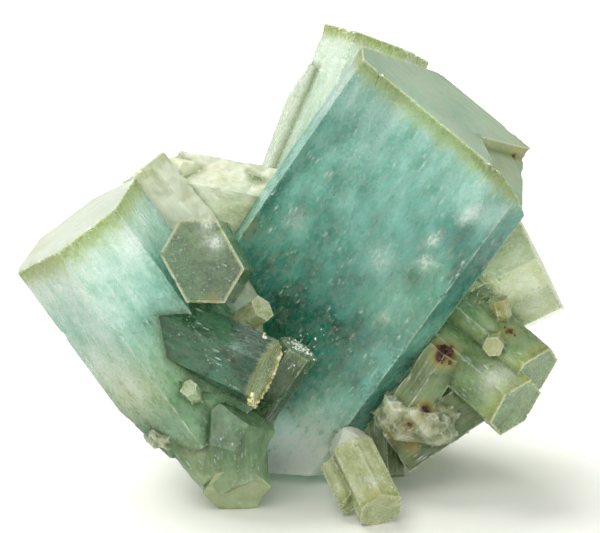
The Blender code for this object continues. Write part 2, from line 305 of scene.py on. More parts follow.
BIG_PRISMS = (
    # name, attitude, faces, length, look, its own cuts, cuts through the cluster, and its
    # growth steps: name, drop below the tip, faces, length, cuts through the cluster
    ("main_prism", MAIN, (4.3, 15.1, 14.6, 14.5, 15.5, 15.6), 72, TEAL, (RIGHT_SLIVER,),
     (BASE, LOW_LEFT), (
        ("main_step_back", 4, (1, 10, 10, 14.5 + STEP, 9, 10), 58,
         (ABOVE_BASE,)),
        ("main_step_flank", 9, (1, 9, 14.6 + STEP, 9, 5, 5), 30, ()))),
    ("left_prism", LEFT, (8.5, 8.2, 12.4, 13.8, 10.2, 9.3), 36, PALE_LEFT, (BEVEL,),
     (LEFT_FOOT,), (
        ("left_step_back", 3, (1, 6, 8, 13.8 + STEP, 4, 6), 30,
         (LEFT_FOOT,)),)),
    ("back_prism", BACK, 7.5, 46, PALE_BACK, (), (), (
        ("back_step", 5, (2, 2, 3, 7.5 + STEP, 2, 2), 38, ()),)),
    ("back_prism_flank", FLANK, (1.3, 4, 4, 2, 1.3, 1.3), 29, PALE_FLANK, (),
     (TAPER,), ()),
    ("right_prism", RIGHT, 8, 26, PALE_RIGHT, (), (), (
        ("right_step", 4, (8 + STEP, 2, 3, 4, 3, 4), 18, ()),)),
)


def below_tip(prism, drop):
    """The same attitude, with the tip moved down the prism's axis."""
    axis = attitude(prism["lean"], prism["toward"], 0.0) @ Vector((0.0, 0.0, 1.0))
    return {**prism, "tip": Vector(prism["tip"]) - axis * drop}


def big_prisms():
    """The teal prism first: it is the solid that the others are joined to."""
    made = []
    for name, prism, faces, length, look, cuts, world_cuts, steps in BIG_PRISMS:
        made.append(crystal(name, faces=faces, length=length, look=look, cuts=cuts,
                            world_cuts=world_cuts, **prism))
        number = len(CRYSTALS) - 1
        for step, drop, step_faces, step_length, step_cuts in steps:
            made.append(crystal(step, faces=step_faces, length=step_length, look=look,
                                world_cuts=step_cuts, part_of=number,
                                **below_tip(prism, drop)))
    return made


def broken_corner():
    """The block that takes the right front corner off the main prism's tip."""
    bm = block()
    slice_off(bm, (-0.74, -0.67, 0), -4.65)
    slice_off(bm, (-0.91, 0.41, 0), -2.3)
    slice_off(bm, (-0.21, 0.09, -0.97), 1.25)
    slice_off(bm, (-0.22, -0.518, -0.827), -0.083)
    slice_off(bm, (0, 0, 1), 6)
    turn = attitude(MAIN["lean"], MAIN["toward"], MAIN["twist"])
    return stand(as_object(bm, "corner", 0), MAIN["tip"], turn)


# %% [markdown]
# ## Small crystals and the root
#
# Small prisms start on the big ones at odd angles wherever a seed landed. The
# root is what broke when the cluster came off the rock: split lumps of beryl
# and patches of grains with dissolved pits.

# %% small crystals
HEX_FACES = (6.1, 5.6, 4.5, 6, 6.2, 5.3)
TWIN_FACES = (4.8, 4.6, 4.2, 4.2, 4.6, 4.6)

SMALL = (
    # name, tip, lean, toward, twist, faces, length, look
    ("hexagon", (-13.8, -12.5, 37), -17, 73.5, -17, HEX_FACES, 14, HEXAGON),
    ("dark_prism", (-5, -14.5, 20.5), 110.5, 17.5, 0, 4.7, 19, DARK),
    ("frosted_tip", (-0.1, -5, 21.5), 32.5, 3.5, 0, 2.8, 24, SMOKE),
    ("yellow_stub", (-5.5, -8, 28.6), 47, 25.5, 20, 1.9, 9, CLEAR_YELLOW),
    ("pale_stub", (-16.2, -16.5, 19), -24, 47, 0, 1.2, 4, GREEN_STUB),
    ("rear_left_prism", (-23.8, 8, 46.3), -38.5, -7, 0, 3.5, 34, REAR),
    ("rear_left_block", (-19.8, 14, 40.8), -80, -2.5, 0, 6, 16, REAR_TAN),
    ("fork_needle", (-6.4, 12, 44), 23.5, -9, 0, 1.6, 14, CLEAR_YELLOW),
    ("left_foot", (-9.4, -14.6, 2.5), 172, 60, 0, 4.4, 15, FOOT_DARK),
    ("left_foot_side", (-11, -12, 5), 136, 19, 10, 4.6, 20, FOOT_DARK),
    ("front_foot", (11.8, -20.3, 1.5), 144.5, 55, 0, 3.1, 12, FOOT_PALE),
    ("front_foot_side", (8.1, -16.4, 1.2), 143, 52, 15, 2.2, 8, FOOT_PALE),
    ("low_right_prism", (31.7, -13, 14.8), 122, 42, 10, 4.4, 20, GREEN_RIGHT),
    ("low_right_twin", (34.6, -9, 18.3), 123, 39, 10, TWIN_FACES, 22, GREEN_RIGHT),
    ("hexagon_stub", (28.3, -11.5, 23.7), -68, 78.5, 0, 1.4, 5, YELLOW),
    ("yellow_block", (29.4, -5, 29.3), -13.5, 10.5, 0, 1.3, 6, YELLOW),
    ("matrix_prism", (22, -7, 21.5), 33.5, -2.5, 15, 3, 14, MATRIX),
    ("matrix_spike", (13.2, -6, 1.6), 178, 25, 30, 2.6, 12, MATRIX),
    ("matrix_bridge", (29.4, 6, 27.5), 48.5, -5, 15, 7, 20, MATRIX),
    ("rear_stub_a", (-24, 13, 22), -60, -40, 0, 3.6, 16, STUB),
    ("rear_stub_b", (-6, 24, 27), -25, -58, 12, 5, 18, STUB),
    ("rear_stub_c", (17, 25, 14), 40, -70, 5, 4.6, 16, STUB),
    ("rear_stub_d", (30, 16, 14), 105, -35, 10, 4, 16, STUB),
    ("rear_stub_e", (-13, 20, 34), -50, -50, 20, 2.6, 12, STUB),
)
CHUNKS = (
    # name, centre, radii, facets, seed, look, cuts
    ("front_root", (8, -7, 5.5), (3.6, 3.6, 4.2), 18, 9, PINK_ROOT, ()),
    ("rear_left_lump", (-19.1, 11.6, 44.4), (4.2, 4, 3), 20, 7, REAR, ()),
    ("root_left", (-8, 12, 15), (14, 10, 14), 22, 3, ROOT, ()),
    ("root_right", (12, 13, 10), (13, 10, 10), 22, 5, ROOT, (UNDER_RIGHT,)),
    ("left_foot_lump", (-9.9, -13.4, 8.6), (5, 4.8, 6.6), 11, 21, FOOT_LUMP, ()),
    ("rear_foot", (11.5, 14.5, 3), (6, 6, 6.5), 20, 11, ROOT, ()),
)
LUMPS = (
    # name, centre, radii, roughness, seed, look
    ("granular_right", (17.8, -6.8, 11.4), (6.8, 5, 4.2), 0.24, 2, GRAIN),
    ("granular_left", (-19.5, -5.5, 10), (4.6, 7.5, 3.6), 0.28, 4, GRAIN),
    ("granular_rear", (2, 18, 16), (9, 5.5, 8.5), 0.30, 6, GRAIN),
)
PITS = (
    # centre, radius
    ((18.9, -12.2, 13.6), 1),
    ((15.8, -11.6, 11.4), 0.8),
    ((21.2, -11.2, 12.6), 0.7),
)


def build_solid():
    """Join everything, cut the pits and the broken corner, and level the foot."""
    solid, *others = big_prisms()
    others += [crystal(*row) for row in SMALL]
    others.append(crystal("matrix_block", (26.5, -3.0, 14.6), 56.0, -3.5, 0.0, 6.0, 15.0,
                          MATRIX, world_cuts=(UNDER_RIGHT,)))
    combine(solid, broken_corner(), "DIFFERENCE")
    others += [chunk(*row) for row in CHUNKS]
    others += [rough_lump(*row) for row in LUMPS]
    for other in others:
        combine(solid, other)
    grain = len(CRYSTALS) - len(LUMPS)
    for centre, radius in PITS:
        pit = as_object(ball(radius * MM, 2), "pit", grain, Vector(centre) + SHIFT)
        combine(solid, pit, "DIFFERENCE")
    ground = as_object(block(), "ground_cut", len(CRYSTALS) - 1, (0.0, 0.0, -BIG / 2.0))
    combine(solid, ground, "DIFFERENCE")
    solid.name = "aquamarine_cluster_visual"
    return solid


cluster = build_solid()
cluster.data.transform(cluster.matrix_world)
cluster.matrix_world = Matrix.Identity(4)
print(len(CRYSTALS), "crystals and lumps joined,", len(cluster.data.polygons), "faces")

# %% [markdown]
# ## A finer mesh where it matters
#
# Flat faces need few triangles, but chipped edges and broken rock need many.
# Long edges are halved again and again until those near a sharp convex edge,
# or on broken rock, are short. The distance from every point to the nearest
# convex edge and to the nearest inner corner is kept too: edges get a thin line
# of painted highlight, partly the white of worn chips, and inner corners get
# painted shade.

# %% marks
MARKS = (
    # place, reach in mm, deeper colour, white of veils and painted gleams, stain, frost; zeros
    # at the end left out
    # deep pockets in the teal prism
    ((-1.3, -4.7, 25.7), 4.5, 0.22),
    ((-3.6, -3.5, 28.7), 2.5, 0.14),
    ((-4, -2.8, 35), 3.5, 0.10),
    ((22.8, -13.7, 41.9), 1.8, 0.28),
    ((29.9, -14.2, 41.6), 3, 0.14),
    ((16.5, -11.5, 34.5), 1.6, 0.18),
    ((7.6, -8.4, 25.5), 5, 0.07),
    # cloudy places in it
    ((24.7, -14.1, 47.5), 4.6, -0.12, 0.05),
    ((26.9, -15.3, 44.8), 2.4, -0.14, 0.10),
    ((4.5, -5.4, 46), 6, -0.10),
    ((14.9, -11.6, 26.4), 4.6, -0.13, 0.05),
    ((12.5, -9.5, 37), 4.5, -0.12, 0.10),
    ((14.4, -9.1, 17.1), 5, -0.08, 0.05),
    # bright fractures in it, and its deep right side
    ((27.2, -13.1, 48.3), 1, 0, 1.4),
    ((24.9, -14.4, 44.8), 1, 0, 1.3),
    ((19.6, -12.4, 40.4), 0.9, 0, 1.1),
    ((12.1, -9.5, 36.7), 1.5, 0, 0.55),
    ((18.6, -12.3, 37), 1.1, 0, 0.9),
    ((-0.5, -3.9, 41), 1.9, 0, 0.35),
    ((12.7, -10.5, 28), 0.8, 0, 0.5),
    ((25, -13.4, 37.5), 6, 0.18),
    # warm back of the cap
    ((31, 8, 55), 6, -0.16, 0, 0.10),
    ((22, 4, 58), 5, -0.04, 0, 0.06),
    # ochre in the broken corner
    ((33.4, 0.8, 50.6), 2.4, -0.30, 0, 0.42),
    ((32.1, 0.3, 50.1), 0.5, 0, 0, 1),
    ((30.2, -4.4, 50.2), 3.2, -0.24, 0, 0.36),
    ((32, -5.1, 47), 3, -0.28, 0.25, 0.15, 0.2),
    ((28.2, -6.3, 52.2), 2.6, -0.30, 0, 0.25, 0.45),
    # frosted foot of the teal prism
    ((-3.5, -5.4, 4), 5.6, -0.15, 0, 0, 1.3),
    ((1.2, -7.4, 3.4), 5, -0.15, 0, 0.06, 1),
    ((5.5, -8.8, 4.6), 4.2, -0.14, 0, 0.24, 0.5),
    ((4, -8, 11), 4.5, -0.14, 0.16, 0, 0.1),
    # left prism: a painted white reflection, deep and pale places, stains on its tip
    ((-24, -16.3, 40.9), 1.5, 0, 1, 0, 0.3),
    ((-17.6, -13, 36), 2.6, 0.28),
    ((-21.8, -16.5, 33.5), 3.6, 0.10),
    ((-21.3, -13, 33), 4, 0.14),
    ((-29.3, -14.4, 21.1), 5, -0.22),
    ((-24.8, -16.3, 18), 4.6, -0.34, 0, 0.08, 0.25),
    ((-38.2, -6.8, 37.8), 2.2, 0, 0, 0.34),
    ((-36, -4.5, 39.2), 3, 0, 0, 0.22),
    ((-36.6, -17.2, 38.3), 1.8, 0, 0, 0.20),
    # stains behind the fork
    ((-16.5, 1.8, 43.4), 1.6, 0, 0, 0.30),
    ((-7.7, -0.3, 39.6), 2.2, 0.10, 0, 0.28),
    ((-9.8, 3.5, 40.5), 3.2, 0.20),
    ((-12.4, 6.9, 46), 3, 0, 0, 0.24),
    # stain and painted gleams on the green hexagon, and a painted gleam on the dark prism
    ((-12.4, -17.9, 32.4), 1.3, 0, 0, 0.60),
    ((-12.1, -15.6, 40.8), 1, 0, 1.3),
    ((-13.4, -14.7, 43.4), 0.8, 0, 1.1),
    ((-9.2, -20.6, 26.1), 0.9, -0.12, 0.25),
    # front foot
    ((11.3, -25.2, 5.9), 1.5, 0, 0, 0.50),
    ((10.3, -23.3, 7.6), 1.5, 0, 0.45, 0, 0.3),
    # iron spots and ochre beside the matrix
    ((21.6, -11.9, 23), 2, 0, 0, 1.3),
    ((20.8, -13.7, 22.8), 1, 0, 0, 0.9),
    ((31.2, -11, 26.1), 1, 0, 0, 1.1),
    ((18.8, -14.1, 14.9), 1.3, 0, 0, 1.1),
    ((16.4, -14.8, 12.7), 1.2, 0, 0, 0.8),
    ((13.2, -13.6, 11), 1.2, 0, 0, 0.6),
    ((16.5, -13.4, 9), 1.4, 0, 0, 0.6),
    # milky middle of the low right prism, and haze on the right prism
    ((29, -16.8, 20.4), 2.6, -0.20, 0.60, 0, 0.3),
    ((24.8, -15, 21), 2.6, 0.10),
    ((34.6, -4, 31), 4, 0.04, 0.12, 0, 0.08),
    # dark heart and pale ends of the left foot
    ((-10.2, -15.9, 12.3), 3.4, 0.18),
    ((-15.5, -18.5, 9.5), 2.6, -0.14, 0, 0.10),
    ((-7.6, -20, 3), 2.4, -0.10, 0, 0, 0.2),
)

# %% refine
FINE, COARSE = 0.62, 3.0                # mm, longest edge beside sharp edges and on flat faces
BREAK, GRAIN_EDGE = 1.0, 0.62           # mm, longest edge on broken faces and on grains
PASSES = 9                              # how often edges are halved at most
WELD = 0.01                             # mm, points closer than this become one
SHARP = math.radians(14.0)              # a corner that counts as an edge of a crystal
NOTCH_DEPTH = 3.5                       # mm below the tip, where the floor of the notch lies
CAP, SIDE, BROKEN, GRAINY = range(4)    # what kind of face it is


def read(items, name, kind=np.int32, size=1):
    """One value or vector of every item of a mesh, as an array."""
    values = np.zeros(len(items) * size, kind)
    items.foreach_get(name, values)
    return values.reshape(-1, size) if size > 1 else values


def face_kinds(mesh):
    """Whether every face is a tip, a side, broken or grains."""
    number = read(mesh.attributes["crystal"].data, "value")
    kinds = np.full(len(number), BROKEN, np.int32)
    for index, face in enumerate(mesh.polygons):
        entry = CRYSTALS[number[index]]
        if entry["look"] is GRAIN:
            kinds[index] = GRAINY
        elif entry["solid"] and not entry["look"]["ragged"]:
            normal = entry["turn"].transposed() @ face.normal
            depth = -(entry["turn"].transposed() @ (face.center / MM - entry["tip"])).z
            if abs(normal.z) < 0.05 or (normal.z > 0.9 and depth > NOTCH_DEPTH):
                kinds[index] = SIDE
            elif normal.z > 0.9:
                kinds[index] = CAP
    return kinds


def sharp_points(bm, spacing=0.25):
    """Points along the convex edges and along the inner corners, as two search trees."""
    found = {True: [], False: []}
    number = bm.faces.layers.int["crystal"]
    for edge in bm.edges:
        if all(CRYSTALS[face[number]]["look"]["soft"] for face in edge.link_faces):
            continue
        if len(edge.link_faces) == 2 and edge.calc_face_angle() > SHARP:
            a, b = edge.verts[0].co / MM, edge.verts[1].co / MM
            steps = max(1, int((b - a).length / spacing))
            points = [a.lerp(b, step / steps) for step in range(steps + 1)]
            found[edge.is_convex].extend(points)
    trees = []
    for convex in (True, False):
        tree = KDTree(len(found[convex]))
        for index, point in enumerate(found[convex]):
            tree.insert(point, index)
        tree.balance()
        trees.append(tree)
    return trees


def drop_folded(bm):
    """Delete pairs of faces that lie on each other with the same corners."""
    groups = {}
    for face in bm.faces:
        groups.setdefault(frozenset(face.verts), []).append(face)
    folded = [face for faces in groups.values() if len(faces) > 1
              for face in faces[:len(faces) // 2 * 2]]
    bmesh.ops.delete(bm, geom=folded, context="FACES")


def refine(obj):
    """Split long edges until the mesh is fine beside sharp edges and on rough ground."""
    kinds = face_kinds(obj.data)
    attribute = obj.data.attributes.new("kind", "INT", "FACE")
    attribute.data.foreach_set("value", kinds)
    bm = bmesh.new()
    bm.from_mesh(obj.data)
    bmesh.ops.remove_doubles(bm, verts=bm.verts, dist=WELD * MM)
    bmesh.ops.triangulate(bm, faces=bm.faces)
    drop_folded(bm)
    bm.normal_update()
    convex, concave = sharp_points(bm)
    kind = bm.faces.layers.int["kind"]
    mark_tree = KDTree(len(MARKS))
    for index, row in enumerate(MARKS):
        mark_tree.insert(Vector(row[0]), index)
    mark_tree.balance()
    for _ in range(PASSES):
        long_edges = []
        for edge in bm.edges:
            length = edge.calc_length() / MM
            if length < FINE:
                continue
            if length < COARSE:
                worst = max(face[kind] for face in edge.link_faces)
                limit = {BROKEN: BREAK, GRAINY: GRAIN_EDGE}.get(worst, COARSE)
                middle = (edge.verts[0].co + edge.verts[1].co) / (2.0 * MM)
                _, index, away = mark_tree.find(middle)
                reach = MARKS[index][1]
                if away < 1.5 * reach:
                    limit = min(limit, 0.65 * reach)
                if length < limit and convex.find(middle)[2] > 0.30 + 0.35 * length:
                    continue
            long_edges.append(edge)
        if not long_edges:
            break
        bmesh.ops.subdivide_edges(bm, edges=long_edges, cuts=1)
        bmesh.ops.triangulate(bm, faces=bm.faces)
        drop_folded(bm)
    bm.normal_update()
    bm.to_mesh(obj.data)
    bm.free()
    return convex, concave


convex_tree, concave_tree = refine(cluster)
print(len(cluster.data.polygons), "triangles after refining")

# %% [markdown]
# ## Coordinates in millimetres
#
# Every face corner gets its place in its own crystal: across, across and down
# from the tip. It also gets the colour strengths of the look. The numbers are
# smooth, so the materials can add all the fine pattern.

# %% attributes
FRESH_BREAK = 0.22                      # how much paler a broken face is
FAR = 5.0                               # mm, the largest distance to an edge that is kept


def write_attributes(obj):
    """Store where each corner lies in its crystal, and how it is coloured there."""
    mesh = obj.data
    kinds = read(mesh.attributes["kind"].data, "value")
    points = read(mesh.vertices, "co", float, 3) / MM
    corner = read(mesh.loops, "vertex_index")
    totals = read(mesh.polygons, "loop_total")
    owner = np.repeat(read(mesh.attributes["crystal"].data, "value"), totals)
    kind = np.repeat(kinds, totals)
    normals = np.repeat(read(mesh.polygons, "normal", float, 3), totals, axis=0)

    marks = np.zeros((len(points), 4))
    for place, reach, *amounts in MARKS:
        away = np.linalg.norm(points - np.array(place), axis=1) / reach
        marks[:, :len(amounts)] += np.exp(-away ** 2)[:, None] * np.array(amounts)
    marks = marks[corner]

    axis, tone, rim, surface = np.zeros((4, len(corner), 3))
    for index, entry in enumerate(CRYSTALS):
        rows = np.nonzero(owner == index)[0]
        if not len(rows):
            continue
        turn = np.array(entry["turn"])
        local = (points[corner[rows]] - np.array(entry["tip"])) @ turn
        style = entry["look"]
        depth = -local[:, 2]
        axis[rows] = np.column_stack((local[:, 0] + 43.0 * index, local[:, 1], depth))
        known = np.array(style["aqua"])
        facing = normals[rows] @ turn
        heading = np.degrees(np.arctan2(facing[:, 1], facing[:, 0])) + 120.0
        side = (heading % 360.0 // 60.0).astype(int) % 6
        on_side, on_cap = kind[rows] == SIDE, kind[rows] == CAP
        tone[rows, 0] = np.interp(depth, known[:, 0], known[:, 1])
        tone[rows, 0] += np.array(style["sides"])[side] * on_side
        if entry["solid"] and not style["ragged"]:
            tone[rows, 0] -= FRESH_BREAK * (kind[rows] == BROKEN)
        known = np.array(style["hue"])
        tone[rows, 1] = np.interp(depth, known[:, 0], known[:, 1])
        tone[rows, 2] = style["stain"]
        rim[rows, 0] = max(style["rim"], 0.01)
        rim[rows, 1] = style["rim_strength"]
        rim[rows, 2] = np.where(on_cap, style["dull"], style["fibre"])
        surface[rows, 0] = style["frost"]
        surface[rows, 2] = style["ring"] * on_cap
    surface[:, 0] += marks[:, 3]
    surface[:, 1] = kind == BROKEN
    marks = marks[:, :3]
    for name, values in (("axis_mm", axis), ("tone", tone), ("rim", rim), ("surface", surface),
                         ("marks", marks)):
        layer = mesh.attributes.new(name, "FLOAT_VECTOR", "CORNER")
        layer.data.foreach_set("vector", values.astype(np.float32).ravel())

    near_edge = np.array([min(convex_tree.find(p)[2], FAR) for p in points])
    near_nook = np.array([min(concave_tree.find(p)[2], FAR) for p in points])
    for name, values in (("edge_mm", near_edge), ("nook_mm", near_nook)):
        layer = mesh.attributes.new(name, "FLOAT", "POINT")
        layer.data.foreach_set("value", values.astype(np.float32))
    slots = (kinds == GRAINY).astype(np.int32)
    mesh.polygons.foreach_set("material_index", slots)
    mesh.polygons.foreach_set("use_smooth", kinds == GRAINY)
    return points, near_edge, kinds, corner, totals


points, near_edge, kinds, corner, totals = write_attributes(cluster)

# %% [markdown]
# ## Chips and fractures
#
# Beryl has no good cleavage: it breaks in small curved chips along its edges,
# and its broken faces are uneven. Points beside an edge move in where a noise
# says there is a chip, and broken faces roll a little. Grains of the root
# stand out as bumps.

# %% wear
CHIP_REACH, CHIP_DEPTH = 0.5, 0.50      # mm from the edge, and mm inward
WORN = 0.03                             # mm that every edge has lost
ROLL, RIPPLE = 0.30, 0.14               # mm, coarse and fine relief of breaks and grains
GRAIN_PIT, BREAK_LOSS = 0.18, 0.06      # mm that pits and breaks go in
MOSTLY = 0.6                            # share of a point's faces that decides its kind
FOOT_HEIGHT = 0.02                      # mm, points below it rest on the ground


def wear(obj):
    """Chip the edges, roll the broken faces and raise the grains."""
    mesh = obj.data
    normals = read(mesh.vertices, "normal", float, 3)
    broken, grainy, whole = np.zeros((3, len(points)))
    kind = np.repeat(kinds, totals)
    np.add.at(broken, corner, kind == BROKEN)
    np.add.at(grainy, corner, kind == GRAINY)
    np.add.at(whole, corner, 1.0)
    broken, grainy = broken / whole, grainy / whole
    moved = points.copy()
    for index, place in enumerate(points):
        if place[2] < FOOT_HEIGHT:
            continue
        here = Vector(place)
        push = 0.0
        if grainy[index] > MOSTLY:
            push = ROLL * noise.noise(here * 0.50) + RIPPLE * noise.noise(here * 1.2)
            push -= GRAIN_PIT * max(0.0, noise.noise(here * 0.9 + Vector((9, 2, 5))))
        elif broken[index] > MOSTLY:
            push = ROLL * noise.noise(here * 0.40) + RIPPLE * noise.noise(here * 1.0)
            push -= BREAK_LOSS
        if near_edge[index] < CHIP_REACH:
            chip = noise.noise(here * 0.45 + Vector((3, 8, 1))) + 0.6 * noise.noise(here * 1.5)
            depth = min(max(chip - 0.30, 0.0) * 1.2, CHIP_DEPTH) + WORN
            push -= depth * (1.0 - near_edge[index] / CHIP_REACH)
        moved[index] = place + normals[index] * push
    moved[:, 2] = np.maximum(moved[:, 2], 0.0)
    mesh.vertices.foreach_set("co", (moved * MM).ravel())
    mesh.update()


wear(cluster)
print("edges chipped, box", [round(v * 1000, 1) for v in cluster.dimensions])

# %% [markdown]
# ## Materials
#
# Aquamarine is see-through, but a specimen like this is milky with veils and
# tiny fluid tubes, so part of the light scatters just under the surface. The
# shader is a Principled BSDF with plain transmission, the refractive index of
# beryl and an even absorption inside. Everything that varies is in the base
# colour, the roughness and the bump, and each pattern is sized in millimetres.
#
# add makes one node. Shades holds short names for the nodes that are used most,
# and for two ways to combine them: over lays a colour on a colour through a
# mask, and product multiplies numbers.

# %% node helper
def add(tree, kind, inputs=(), out=0, stops=None, **settings):
    """Add a node, set its options, fill or link its inputs, and return one output."""
    node = tree.nodes.new(kind)
    for key, value in settings.items():
        setattr(node, key, value)
    if stops:
        elements = node.color_ramp.elements
        while len(elements) < len(stops):
            elements.new(0.5)
        for element, (position, code) in zip(elements, stops):
            element.position = position
            element.color = to_linear(code)
    for key, value in dict(inputs).items():
        if isinstance(value, bpy.types.NodeSocket):
            tree.links.new(value, node.inputs[key])
        elif value is not None:
            node.inputs[key].default_value = value
    return node.outputs[out] if len(node.outputs) else node


MATH, MIX, CELLS = "ShaderNodeMath", "ShaderNodeMix", "ShaderNodeTexVoronoi"
BERYL_IOR = 1.577


class Shades:
    """A new material, with short names for the nodes that are used most."""

    def __init__(self, name):
        self.material = bpy.data.materials.new(name)
        self.material.use_nodes = True
        self.tree = self.material.node_tree
        self.tree.nodes.clear()

    def stored(self, name, out=1):
        """A value that the mesh carries: a vector (out 1) or a number (out 2)."""
        return add(self.tree, "ShaderNodeAttribute", attribute_name=name, out=out)

    def part(self, vector, axis):
        return add(self.tree, "ShaderNodeSeparateXYZ", {0: vector}, out=axis)

    def math(self, operation, *values, **settings):
        return add(self.tree, MATH, enumerate(values), operation=operation, **settings)

    def product(self, *values):
        result = values[0]
        for value in values[1:]:
            result = self.math("MULTIPLY", result, value)
        return result

    def stretched(self, vector, factors):
        return add(self.tree, "ShaderNodeVectorMath", {0: vector, 1: factors},
                   operation="MULTIPLY")

    def noise(self, vector, scale, detail, roughness=0.5):
        return add(self.tree, "ShaderNodeTexNoise", {
            "Vector": vector, "Scale": scale, "Detail": detail, "Roughness": roughness})

    def remap(self, value, low, high, start=0.0, end=1.0, smooth=False):
        """Carry the range from low to high over to start to end."""
        return add(self.tree, "ShaderNodeMapRange",
                   {0: value, 1: low, 2: high, 3: start, 4: end},
                   interpolation_type="SMOOTHSTEP" if smooth else "LINEAR")

    def ramp(self, value, *stops):
        return add(self.tree, "ShaderNodeValToRGB", {0: value}, stops=stops)

    def even_ramp(self, value, *codes):
        """A ramp whose colours are evenly spaced from 0 to 1."""
        last = len(codes) - 1
        return self.ramp(value, *[(round(i / last, 6), code) for i, code in enumerate(codes)])

    def over(self, mask, below, above, blend="MIX"):
        above = to_linear(above) if isinstance(above, str) else above
        return add(self.tree, MIX, {0: mask, 6: below, 7: above}, out=2, data_type="RGBA",
                   blend_type=blend)

    def choose(self, share, first, second):
        return add(self.tree, MIX, {0: share, 2: first, 3: second}, data_type="FLOAT")

    def bump(self, strength, depth, height):
        """Relief of depth mm."""
        return add(self.tree, "ShaderNodeBump", {
            "Strength": strength, "Distance": depth * MM, "Height": height})

    def finish(self, values, volume=None):
        """Close the material with a Principled BSDF, and what fills it."""
        shader = add(self.tree, "ShaderNodeBsdfPrincipled", values)
        sockets = {"Surface": shader}
        if volume:
            sockets["Volume"] = add(self.tree, "ShaderNodeVolumeAbsorption", volume)
        add(self.tree, "ShaderNodeOutputMaterial", sockets)
        return self.material


# %% aquamarine
# Clouds of stronger and weaker colour: stretch along the axis, scale per mm, detail,
# roughness, and how far they change the strength.
CLOUDS = (
    (0.6, 0.10, 3, 0.55, 0.08),       # 10 mm across
    (0.6, 0.40, 5, 0.62, 0.14),
    (0.6, 1.1, 4, 0.66, 0.10),
    (0.6, 3, 3, 0.70, 0.11),        # 0.3 mm across
    (0.08, 1.6, 3, 0.60, 0.07),       # drawn out down the prism
)
# Flecks: stretch, scale per mm, size of a fleck in its cell, share of empty cells.
FLECKS = (
    ((1, 1, 0.22), 1.7, 0.26, 0.55),
    ((1, 1, 0.60), 2.4, 0.30, 0.74),
    ((1, 1, 0.30), 0.9, 0.20, 0.70),
    ((1, 1, 0.05), 2, 0.22, 0.80),
)


